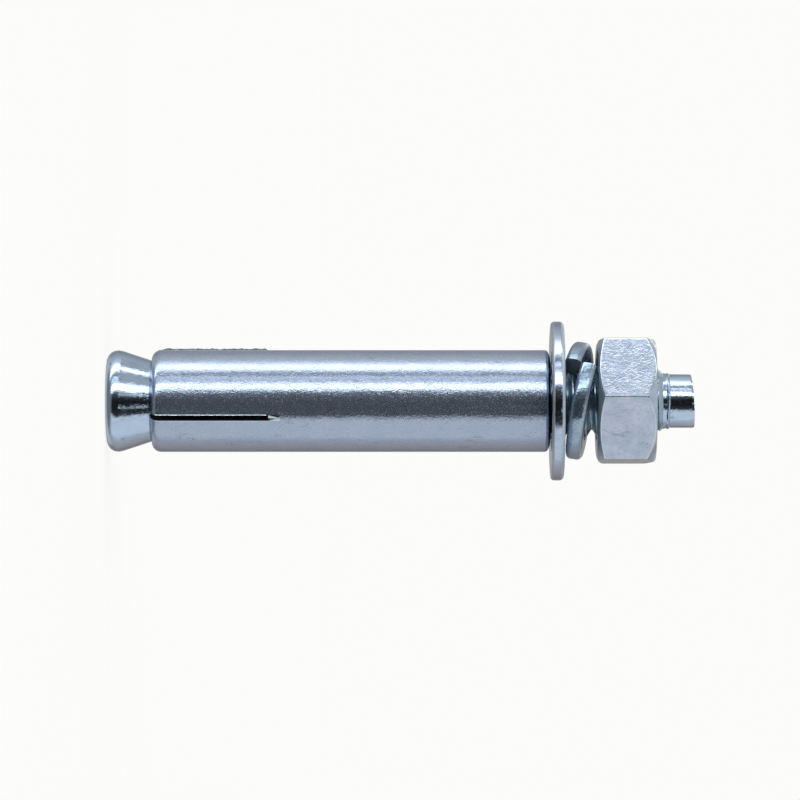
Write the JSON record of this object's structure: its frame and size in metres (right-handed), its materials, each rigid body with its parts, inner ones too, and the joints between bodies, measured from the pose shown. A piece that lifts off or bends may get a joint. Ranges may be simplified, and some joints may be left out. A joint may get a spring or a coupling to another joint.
{
  "type": "expansion bolt",
  "caption": "Sleeve expansion anchor: a cone-headed bolt in a slit steel sleeve, with a flat washer, a split spring washer and a hexagon nut, all zinc plated.",
  "frame": {"origin": "centre of the cone head's flat end, on which the bolt stands", "axes": "+Z along the bolt's axis from the cone head to the nut and the threaded end; the sleeve's front slit, the spring washer's split and a corner of the nut lie on the -Y side"},
  "size_m": [0.0218, 0.0218, 0.0807],
  "materials": {
    "zinc_cone_bolt": "cold-headed and rolled steel, bright blue-white zinc plating, glossy",
    "zinc_sleeve": "steel tube, bright blue-white zinc plating, glossy with a fine pebbled grain",
    "zinc_flat_washer": "punched steel, tumbled edges, bright zinc plating",
    "zinc_spring_washer": "coiled square spring wire, bright zinc plating",
    "zinc_nut": "cold-formed steel, satin zinc plating with crinkled flats and worn edges"
  },
  "bodies": {
    "bolt": {"cone_bolt": "zinc_cone_bolt"},
    "sleeve": {"expansion_sleeve": "zinc_sleeve"},
    "washer": {"flat_washer": "zinc_flat_washer"},
    "lock_washer": {"spring_washer": "zinc_spring_washer"},
    "nut": {"hex_nut": "zinc_nut"}
  },
  "joints": [
    {"name": "sleeve_turn", "type": "hinge", "parent": "bolt", "child": "sleeve", "pos_m": [0, 0, 0.034], "axis": [0, 0, 1], "continuous": true},
    {"name": "washer_travel", "type": "slide", "parent": "bolt", "child": "washer", "axis": [0, 0, 1], "range_m": [-0.00005, 0.0075]},
    {"name": "lock_washer_turn", "type": "hinge", "parent": "washer", "child": "lock_washer", "pos_m": [0, 0, 0.065], "axis": [0, 0, 1], "continuous": true},
    {"name": "nut_turn", "type": "hinge", "parent": "washer", "child": "nut", "pos_m": [0, 0, 0.0713], "axis": [0, 0, 1], "range_deg": [-12, 1800]}
  ],
  "couplings": [
    {"joint": "washer_travel", "follows": "nut_turn", "m_per_rad": 0.00023873}
  ]
}
